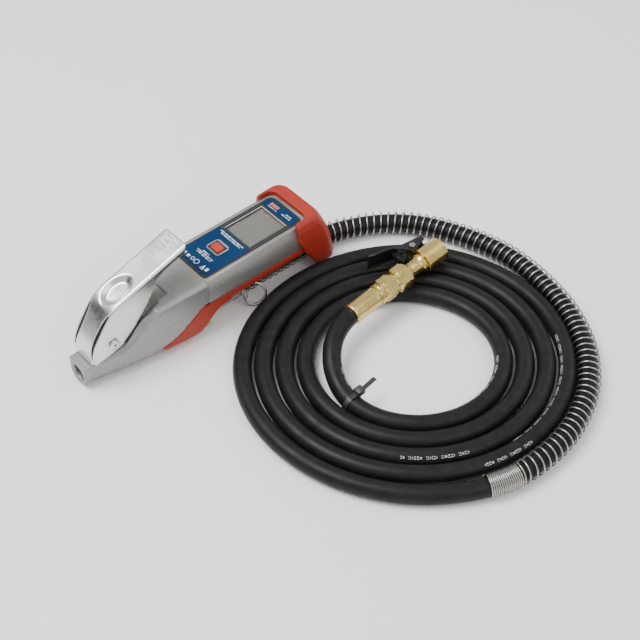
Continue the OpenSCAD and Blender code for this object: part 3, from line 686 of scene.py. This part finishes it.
FERRULE_AT = (0.05, 0.3, 0.9, 1.6, 2.4, 3.2, *spread(4, 20, 8), 21, 22, 23, 23.8, 24.4)
COLLAR = ((24.3, 0), (24.3, 7.1), (24.6, 7.5), (25.3, 7.65), (25.6, 7.3), (26, 7.1), (26.4, 7.3),
          (26.7, 7.65), (27.9, 7.6), (28.4, 7.2), (28.5, 6.6), (28.5, 0))
NECK = ((41.1, 0), (41.1, 6.5), (42.4, 6.7), (42.6, 0.5), (54.8, 0.5), (54.9, 6.9), (55.6, 6.8),
        (56.4, 6.1), (57.6, 5.5), (59.4, 5.2), (63.5, 5.15), (66.2, 5.3), (67.4, 5.8), (68, 6.4),
        (68.4, 6.75), (69.4, 6.8), (70.1, 6.5), (70.5, 6.2), (70.5, 0))
HEAD = ((70.3, 0), (70.3, 6.2), (70.9, 7.2), (71.8, 8), (73, 8.45), (74.5, 8.68), (80, 8.7),
        (86.6, 8.7), (87.8, 8.55), (88.6, 8.1), (88.95, 7.4), (89, 6.2), (88.9, 4.9), (88.3, 4.2),
        (76.2, 4.1), (76, 0))

ferrule = chuck_piece(
    "hose_ferrule_sleeve", *polar([x * MM for x in FERRULE_AT], ferrule_radius, 96), BRASS
)
ferrule_collar = chuck_piece("ferrule_collar", *lathe(COLLAR), BRASS)
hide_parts("hose_ferrule")
shade_by_angle(ferrule_collar)


def hex_piece(name, x0, x1, af, chamfer, body):
    """Hexagon with turned chamfers at both ends."""
    top = af / 2 + HEX_CORNER

    def radius(x, a):
        edge = min(x / MM - x0, x1 - x / MM)
        cone = top - chamfer + edge * HEX_CONE if edge < chamfer else top
        return min(hexagon(af, a), cone) * MM

    inner = [x0, x0 + 0.12, x0 + 0.35, x0 + 0.7, x0 + 1.1, x0 + chamfer, lerp(x0, x1, 0.35)]
    stations = inner + [x0 + x1 - v for v in reversed(inner)]
    piece = chuck_piece(name, *polar([v * MM for v in stations], radius, 120), BRASS, body)
    shade_by_angle(piece, 22)
    return piece


nut = hex_piece("swivel_nut_hexagon", 28.75, 40.95, 15, 1.9, "nut")
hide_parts("swivel_nut")
adaptor = hex_piece("adaptor_hexagon", 42.4, 55, 16, 2.0, "body")
stem = chuck_piece("chuck_neck", *lathe(NECK), BRASS)
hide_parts("chuck_stem")
shade_by_angle(stem, 40)


head = chuck_piece("chuck_head_shell", *lathe(HEAD), BRASS)
shade_by_angle(head, 40)
lug = melted("chuck_lug", "chuck_head", BRASS, 0.3 * MM, 3)
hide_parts("chuck_head")

clip = softened("clip_plate", "clip_lever", BLACK_STEEL, 0.25 * MM, "clip")
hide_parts("clip_lever")

CLIP_COIL_X, CLIP_COIL_FROM, CLIP_COIL_TO = 62.5, 8.0, 18.0
CLIP_COIL_R, CLIP_COIL_WIRE, CLIP_COIL_TURNS = 2.2, 0.36, 6.5
RIVET = ((0, 0.0), (0, 0.94), (0.25, 1.0), (0.6, 0.95), (0.9, 0.8), (1.0, 0.6), (0.97, 0.42),
         (0.72, 0.34), (0.62, 0.2), (0.6, 0.0))
RIVET_AT, RIVET_OUT, RIVET_R, RIVET_HEIGHT = mm(73.5, 11.5, 0), 6.1, 2.2 * MM, 1.0 * MM


def clip_coil():
    """Little wound spring under the clip's thumb pad."""
    points, per_turn = [], 18
    for i in range(int(CLIP_COIL_TURNS * per_turn) + 1):
        a = 2 * math.pi * i / per_turn
        y = lerp(CLIP_COIL_FROM, CLIP_COIL_TO, i / (CLIP_COIL_TURNS * per_turn))
        points.append(mm(CLIP_COIL_X + CLIP_COIL_R * math.cos(a), y, CLIP_COIL_R * math.sin(a)))
    return tube(points, CLIP_COIL_WIRE * MM, 8)


clip_spring = chuck_piece("clip_coil_spring", *clip_coil(), BLACK_STEEL, "clip")
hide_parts("clip_spring")


def rivet_head(name, sign):
    """Domed head of the clip's rivet, with a dimple in its middle."""
    verts, faces = lathe(RIVET, 40, RIVET_HEIGHT, RIVET_R)
    turn = Vector((1, 0, 0)).rotation_difference(Vector((0, 0, sign))).to_matrix().to_4x4()
    place = Matrix.Translation(CHUCK @ RIVET_AT + mm(0, 0, RIVET_OUT * sign)) @ turn
    new_mesh(name, [place @ v for v in verts], faces, WIRE, "body")


for sign, word in ((1, "upper"), (-1, "lower")):
    rivet_head("clip_rivet_" + word, sign)

# ------------------------------------------------------------------ lever

PIN = mm(-79.7, 0, 31.2)
LEVER_HALF, LEVER_T = 11.5, 1.6
APRON_HALF, APRON_HOLLOW = 9.6, 2.2
APRON_MIDDLE, APRON_REACH, BEND_X = (-87.5, 39.5), 20, -76
DIMPLE_ALONG, DIMPLE_DEPTH, DIMPLE_RIM, DIMPLE_FLOOR = 52.5, 3, (14, 8.8), (7.4, 5)
LEVER_ROLL, LIP_DEPTH, LIP_END = 2.0, 4.6, -36
TIP_X, TIP_CORNER = -16, 2.8
LEVER_STEP, FLANGE_INSET, LEVER_VOXEL = 1.2, 0.35, 0.36 * MM
ROLL_STOPS, DIMPLE_STOPS = 12, 20
RIBS, RIB_FIRST, RIB_STEP, RIB_SUNK = 4, (-18.9, 78.6), (3.35, 1.075), 0.12
RIB_HALF, RIB_FLAT, RIB_R, RIB_END_R = 5.8, 5.5, 0.38, 0.1
# Side outlines as (x, z), in millimetres: the lever's top, and the lower edge of its flanges.
LEVER_TOP = [(-16, 79.6), (-30, 75.1), (-45, 70.3), (-60, 65.5), (-70, 62.1), (-76.5, 58.8), (-82, 53.6),
             (-88.2, 45.2), (-93.4, 37.2), (-95.9, 31), (-96.8, 25.4), (-96.9, 20.7)]
FLANGE_LOW = [(-95.4, 20.6), (-84, 22.6), (-73.2, 25.5), (-65.4, 30.5), (-58.9, 38.4), (-52, 46.5),
              (-46.5, 55), (-42, 63.5), (-36, 68.2)]


def lever_profile():
    """The lever's upper outline in side view, in millimetres."""
    return resample(catmull([Vector((x, 0, z)) for x, z in LEVER_TOP], 8), LEVER_STEP)


def slab(outline, y0, y1):
    """Solid plate with a side outline of (x, z) vectors, in millimetres."""
    n = len(outline)
    verts = [Vector((p.x, y, p.z)) * MM for y in (y0, y1) for p in outline]
    faces = [tuple(range(n)), tuple(range(2 * n - 1, n - 1, -1))]
    faces += [(i, i + n, (i + 1) % n + n, (i + 1) % n) for i in range(n)]
    return verts, faces


def inward(line, distance):
    """The line moved inwards, to the lever's inner side."""
    out = []
    for i, p in enumerate(line):
        d = (line[min(i + 1, len(line) - 1)] - line[max(i - 1, 0)]).normalized()
        out.append(p + distance * Vector((-d.z, 0, d.x)))
    return out


def join(parts):
    """One list of vertices and one of faces from several."""
    verts, faces = [], []
    for v, f in parts:
        base = len(verts)
        verts += v
        faces += [tuple(base + i for i in face) for face in f]
    return verts, faces


def strip(outer, inner, half):
    """Solid plate between two (x, z) lines, whose half-width varies along it, in millimetres."""
    verts, faces = [], []
    for i, (a, b) in enumerate(zip(outer, inner)):
        verts += [Vector((p.x, y, p.z)) * MM for p in (a, b) for y in (-half(i), half(i))]
        if i:
            q = 4 * i
            faces += [(q - 4, q - 3, q + 1, q), (q - 1, q - 2, q + 2, q + 3),
                      (q - 2, q - 4, q, q + 2), (q - 3, q - 1, q + 3, q + 1)]
    last = len(verts) - 4
    return verts, faces + [(0, 2, 3, 1), (last, last + 1, last + 3, last + 2)]


def round_tip(v):
    """Rounds the two corners of the lever's free end in plan."""
    x, y = v.x / MM, abs(v.y) / MM
    a, b = x - (TIP_X - TIP_CORNER), y - (LEVER_HALF - TIP_CORNER)
    if a > 0 and b > 0 and math.hypot(a, b) > TIP_CORNER:
        k = TIP_CORNER / math.hypot(a, b)
        v.x = (TIP_X - TIP_CORNER + a * k) * MM
        v.y = math.copysign((LEVER_HALF - TIP_CORNER + b * k) * MM, v.y)


def build_lever():
    """Plate, apron and two flanges melted into one pressing."""
    top = lever_profile()
    inner = inward(top, LEVER_T)
    bend = next(i for i, p in enumerate(top) if p.x < BEND_X)
    x, z = APRON_MIDDLE
    middle = min(range(len(top)), key=lambda i: math.hypot(top[i].x - x, top[i].z - z))
    spacing = (top[1] - top[0]).length

    def apron_half(i):
        """Half-width of the apron, which is hollowed out on both sides of its middle."""
        reach = spacing * (i + bend - 2 - middle)
        return APRON_HALF - max(0, APRON_HOLLOW * (1 - (reach / APRON_REACH) ** 2))

    plate = slab(top[: bend + 1] + inner[: bend + 1][::-1], -LEVER_HALF, LEVER_HALF)
    parts = [plate, strip(top[bend - 2 :], inner[bend - 2 :], apron_half)]
    low = [Vector((x, 0, z)) for x, z in FLANGE_LOW]
    lip = inward(top, LIP_DEPTH)
    lip_end = next(i for i, p in enumerate(lip) if p.x < LIP_END)
    edge = inward(top, FLANGE_INSET)
    outline = top[:bend] + edge[bend:-4] + resample(catmull(low, 6), LEVER_STEP) + lip[:lip_end][::-1]
    for sign in (-1, 1):
        parts.append(slab(outline, *sorted((sign * LEVER_HALF, sign * (LEVER_HALF - LEVER_T)))))
    verts, faces = join(parts)
    piece = new_mesh("squeeze_lever", verts, faces, POLISHED, None)
    melt(piece, LEVER_VOXEL, 3)
    shape_lever(piece, top)
    smooth_out(piece, 9)
    finish_piece(piece, POLISHED, "lever")
    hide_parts("trigger_lever")


def shape_lever(piece, top):
    """Rolls the long edges over, presses the oval dimple in, and rounds the tip.

    The roll and the dimple end some points of the profile before its lower end.
    """
    slope = (top[4] - top[0]).normalized()
    normal = Vector((slope.z, 0, -slope.x))
    for vertex in piece.data.vertices:
        v = vertex.co / MM
        index = min(range(len(top)), key=lambda i: (top[i].x - v.x) ** 2 + (top[i].z - v.z) ** 2)
        a, b = top[max(index - 1, 0)], top[min(index + 1, len(top) - 1)]
        d = (b - a).normalized()
        out = Vector((d.z, 0, -d.x))
        depth = -(v - top[index]).dot(out)
        side = abs(v.y) - (LEVER_HALF - LEVER_ROLL)
        rise = LEVER_ROLL - depth
        past = math.hypot(side, rise)
        if side > 0 and rise > 0 and past > LEVER_ROLL and index < len(top) - ROLL_STOPS:
            k = LEVER_ROLL / past
            v += out * (rise * k - rise)
            v.y = math.copysign(LEVER_HALF - LEVER_ROLL + side * k, v.y)
        if depth < LEVER_T + 0.6 and index < len(top) - DIMPLE_STOPS:
            along = (v - top[0]).dot(slope) - DIMPLE_ALONG
            rim = math.hypot(along / DIMPLE_RIM[0], v.y / DIMPLE_RIM[1])
            floor = math.hypot(along / DIMPLE_FLOOR[0], v.y / DIMPLE_FLOOR[1])
            v -= normal * DIMPLE_DEPTH * (1 if floor <= 1 else smoothstep((1 - rim) / (1 - rim / floor)))
        vertex.co = v * MM
        round_tip(vertex.co)


def thumb_ribs():
    """Low rounded ribs across the lever's tip."""
    parts = []
    for n in range(RIBS):
        x, z = RIB_FIRST[0] - RIB_STEP[0] * n, RIB_FIRST[1] - RIB_STEP[1] * n
        ends = [mm(x, y, z - RIB_SUNK) for y in (-RIB_HALF, -RIB_FLAT, RIB_FLAT, RIB_HALF)]
        parts.append(tube(ends, lambda i: (RIB_END_R, RIB_R, RIB_R, RIB_END_R)[i] * MM, 12))
    return join(parts)


PIN_HEAD_OUT, PIN_HOLE_SHADE_OUT = 12.35, 13.05
PIN_HEAD = ((0, 0), (0, 3.75), (0.35, 3.9), (0.85, 3.8), (1.15, 3.5), (1.3, 3.05), (1.28, 2.75),
            (0.75, 2.6), (0.7, 2.3), (1.05, 2.1), (1.15, 1.7), (1.1, 1.15), (0.9, 0.9), (0.7, 0.85),
            (0.68, 0.84))
# A thin dark disc closing the middle of each pin head: painted shade that stands for the inside of the
# pin's hole.
PIN_HOLE_SHADE = ((0, 0), (0, 0.9), (0.1, 0.9), (0.1, 0))


def on_pin(name, shape, sign, out, mat, smooth=True):
    """A turned piece on the axis of the lever's pin, out from the middle plane on one side."""
    verts, faces = shape
    place = Matrix.Translation(PIN + mm(0, sign * out, 0)) @ Matrix.Rotation(sign * math.pi / 2, 4, "Z")
    return new_mesh(name, [place @ v for v in verts], faces, mat, "body", smooth)


build_lever()
new_mesh("lever_ribs", *thumb_ribs(), POLISHED, "lever")
for sign, word in ((-1, "near"), (1, "far")):
    shade_by_angle(on_pin("pin_head_" + word, lathe(PIN_HEAD, 48), sign, PIN_HEAD_OUT, POLISHED), 50)
    on_pin("pin_hole_shade_" + word, lathe(PIN_HOLE_SHADE, 24), sign, PIN_HOLE_SHADE_OUT, DARK_PLASTIC, False)

# ------------------------------------------------------------------ body shells

casting = melted("valve_casting", "front_casting", CAST, 0.5 * MM, 3)
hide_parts("front_casting")
casing = softened("gauge_casing", "upper_casing", CAST, 0.8 * MM, segments=3, angle=20)
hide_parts("upper_casing")
boot = melted("rubber_boot", "red_boot", RED, 0.5 * MM, 3)
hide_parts("red_boot")
bumper = melted("rubber_bumper", "rear_bumper", RED, 0.55 * MM, 4)
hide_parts("rear_bumper")

# ------------------------------------------------------------------ display and button

PANEL_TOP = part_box("front_label")[1][2]


softened_node("display_bezel", "bezel", BEZEL, 0.4 * MM)
softened_node("label_front", "front_label", BLUE, 0.1 * MM)
softened_node("label_rear", "rear_label", BLUE, 0.1 * MM)
softened_node("button_frame", "button_surround", SURROUND, 0.35 * MM)
softened_node("on_button", "power_button", BUTTON, 0.5 * MM, "button")


PRINT_SUNK, PRINT_RISE = -0.02, 0.06
TICK, TICK_STEP, TICK_WORD_GAP = 0.5, 0.78, 0.7


def panel_bar(x0, y0, x1, y1, z):
    """Vertices and faces of a thin printed bar on the panel."""
    lo, hi = z + PRINT_SUNK * MM, z + PRINT_RISE * MM
    corners = ((x0, y0), (x1, y0), (x1, y1), (x0, y1))
    verts = [Vector((x * MM, y * MM, h)) for h in (lo, hi) for x, y in corners]
    faces = [(3, 2, 1, 0), (4, 5, 6, 7), (0, 1, 5, 4), (1, 2, 6, 5), (2, 3, 7, 6), (3, 0, 4, 7)]
    return verts, faces


def word_row(x, y_from, y_to, height, words):
    """A row of small plain ticks, in groups, that stands for a line of print."""
    parts, y, n = [], y_from, 0
    while y > y_to:
        for _ in range(words[n % len(words)]):
            if y < y_to:
                break
            parts.append(panel_bar(x, y - TICK, x + height, y, PANEL_TOP))
            y -= TICK_STEP
        y -= TICK_WORD_GAP
        n += 1
    return parts


WORD_ROWS = (
    (28.3, 12.2, -11.6, 0.95, (5, 3, 4, 6)),
    (26.6, 10.0, -9.6, 0.95, (3, 7, 2, 5)),
    (6.9, 4.4, -1.6, 0.9, (6,)),
    (5.3, 8.4, -7.4, 0.9, (1, 5, 4, 3)),
    (3.7, 7.4, -6.6, 0.9, (1, 4, 4, 3)),
    (69.4, -3.0, -11.4, 0.9, (4, 3, 4)),
    (71.4, -5.4, -10.6, 0.9, (3, 3)),
    (68.6, 10.6, 1.4, 0.5, (9,)),
)
ticks = [bar for row in WORD_ROWS for bar in word_row(*row)]
new_mesh("panel_print", *join(ticks), PRINT, "body", False)
blocks = [panel_bar(70.2, 2.6 + 2.1 * i, 73.0, 4.3 + 2.1 * i, PANEL_TOP) for i in range(4)]
new_mesh("panel_blocks", *join(blocks), ORANGE_PRINT, "body", False)


def panel_symbols():
    """Plain shapes along the label's front edge: rings, a square, a bar and a wedge."""
    z = PANEL_TOP
    up = Vector((0, 0, 1))
    parts = [panel_bar(-3.9, -12.6, -0.9, -10.6, z), panel_bar(-4.6, -9.6, -4.0, -6.4, z),
             panel_bar(-4.1, 6.4, -1.9, 8.6, z), panel_bar(-3.4, 10.6, -1.6, 12.2, z)]
    for y, r in ((-0.8, 1.9), (3.4, 1.3)):
        parts.append(ring_tube(Vector((-2.6 * MM, y * MM, z)), up, r * MM, 0.22 * MM, 32, 6))
    corners = ((-3.4, -9.4), (-3.4, -6.6), (-0.6, -8))
    wedge = [Vector((x * MM, y * MM, z + h * MM)) for h in (PRINT_SUNK, PRINT_RISE) for x, y in corners]
    parts.append((wedge, [(0, 1, 2), (5, 4, 3), (0, 3, 4, 1), (1, 4, 5, 2), (2, 5, 3, 0)]))
    return join(parts)


new_mesh("panel_symbols", *panel_symbols(), PRINT, "body", False)


BEZEL_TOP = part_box("bezel")[1][2]
SURROUND_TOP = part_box("button_surround")[1][2]


def frame_bars(x0, y0, x1, y1, wide, z):
    """Four thin bars round a rectangle: far, rear, front and near."""
    return [panel_bar(x0 - wide, y1, x1 + wide, y1 + wide, z), panel_bar(x1, y0, x1 + wide, y1, z),
            panel_bar(x0 - wide, y0, x0, y1, z), panel_bar(x0 - wide, y0 - wide, x1 + wide, y0, z)]


# The window's far and rear rim bars are pale as a painted highlight, and its front and near rim bars are
# dark as painted shade.
window_bars = frame_bars(33, -13, 65, 13, 0.5, BEZEL_TOP - 0.6 * MM)
new_mesh("display_rim", *join(window_bars[:2]), RIM_HIGHLIGHT, "body", False)
new_mesh("display_rim_shade", *join(window_bars[2:]), BEZEL, "body", False)
# Dark bars painted on the button's frame round the button: painted shade of the recess the button sits in.
new_mesh("button_well_shade", *join(frame_bars(12.3, -4.6, 19.3, 4.6, 1.0, SURROUND_TOP)), BEZEL, "body", False)

# ------------------------------------------------------------------ hanging ring and cable tie

RING_AT, RING_TOP = mm(31, -18.3, 8.36), mm(32.75, -15.27, 15.55)
RING_AXIS, RING_R, RING_WIRE = Vector((-0.449, -0.778, 0.438)), 8 * MM, 1.1 * MM
STAPLE_Z, STAPLE_R, STAPLE_NEAR_LEG, STAPLE_FAR_LEG = 15.75, 2.4, 3.45, 3.15
HOOK_R, HOOK_FROM, HOOK_SWEEP, HOOK_STEPS = 3.4, -60, 300, 21
HOOK_COIL_R, HOOK_COIL_STEPS, HOOK_COIL_PER_TURN = 1.7, 72, 14
ring_shape = ring_tube(RING_AT, RING_AXIS, RING_R, RING_WIRE, 96, 14)
ring = new_mesh("hang_ring", *ring_shape, WIRE, "ring")
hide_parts("hanging_ring")


def staple():
    """Wire staple that the ring hangs in: two legs joined by a half loop."""
    across = Vector((0.5, 0.866, 0))
    middle = Vector((RING_TOP.x, RING_TOP.y, STAPLE_Z * MM))
    points = [middle - across * STAPLE_R * MM + mm(0, 0, STAPLE_NEAR_LEG)]
    for i in range(17):
        a = math.pi * (1 + i / 16)
        points.append(middle + STAPLE_R * MM * (math.cos(a) * across + math.sin(a) * Vector((0, 0, 1))))
    points.append(middle + across * STAPLE_R * MM + mm(0, 0, STAPLE_FAR_LEG))
    return tube(points, 0.9 * MM, 14)


bail = new_mesh("hang_bail", *staple(), WIRE, "body")
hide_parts("hook_bail")


def hook_wires():
    """Wire hook that closes the ring onto the staple, with its small coiled end."""
    along, up = Vector((0.866, -0.5, 0)), Vector((0.219, 0.379, 0.899))
    hook = []
    for i in range(HOOK_STEPS + 1):
        a = math.radians(HOOK_FROM + HOOK_SWEEP * i / HOOK_STEPS)
        hook.append(RING_TOP + HOOK_R * MM * (math.cos(a) * along + math.sin(a) * up) + mm(-9.5, 0.6, -7.6))
    coil = []
    for i in range(HOOK_COIL_STEPS + 1):
        a = 2 * math.pi * i / HOOK_COIL_PER_TURN
        centre = RING_TOP + mm(-11.5 - 5.5 * i / HOOK_COIL_STEPS, 3.2 + 1.6 * i / HOOK_COIL_STEPS, -7.5)
        turn = math.cos(a) * Vector((0, 1, 0)) + math.sin(a) * Vector((0, 0, 1))
        coil.append(centre + HOOK_COIL_R * MM * turn)
    return join([tube(hook, 0.55 * MM, 10), tube(coil, 0.5 * MM, 8)])


new_mesh("hook_wires", *hook_wires(), WIRE, "body")


TIE_AT, TIE_AROUND = mm(15.7, -135.6, 6.4), 40
TIE_SECTION = ((6.3, -1.9), (7.1, -1.7), (7.1, 1.7), (6.3, 1.9))


def cable_tie():
    """The tie's band round the innermost turn."""
    p, side, up = at_along(nearest_along(TIE_AT))
    along = side.cross(up).normalized()
    verts = []
    for k in range(TIE_AROUND):
        a = 2 * math.pi * k / TIE_AROUND
        out = math.cos(a) * side + math.sin(a) * up
        for r, w in TIE_SECTION:
            verts.append(p + out * r * MM + along * w * MM)
    return verts, loop_faces(TIE_AROUND, len(TIE_SECTION))


tie_band = new_mesh("tie_band", *cable_tie(), DARK_PLASTIC, "body", False)
tie = softened("tie_head", "cable_tie", DARK_PLASTIC, 0.3 * MM)
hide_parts("cable_tie")

# ------------------------------------------------------------------ carried-over nodes

CAD_MATERIALS = {
    "inlet_filter": BRASS,
    "lever_pin": POLISHED,
    "valve_plunger": BRASS,
    "valve_spring": WIRE,
    "valve_seat": BRASS,
    "outlet_fitting": BRASS,
    "lower_casing": DARK_PLASTIC,
    "casing_screws": WIRE,
    "display_window": GLASS,
    "display_module": DISPLAY,
    "button_switch": DARK_PLASTIC,
    "circuit_board": BOARD,
    "pressure_sensor": WIRE,
    "battery_left": BATTERY,
    "battery_right": BATTERY,
    "battery_contacts": WIRE,
    "clip_rivet": WIRE,
    "valve_washer": DARK_PLASTIC,
}
for node, mat in CAD_MATERIALS.items():
    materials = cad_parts[node].data.materials
    materials.clear()
    materials.append(mat)
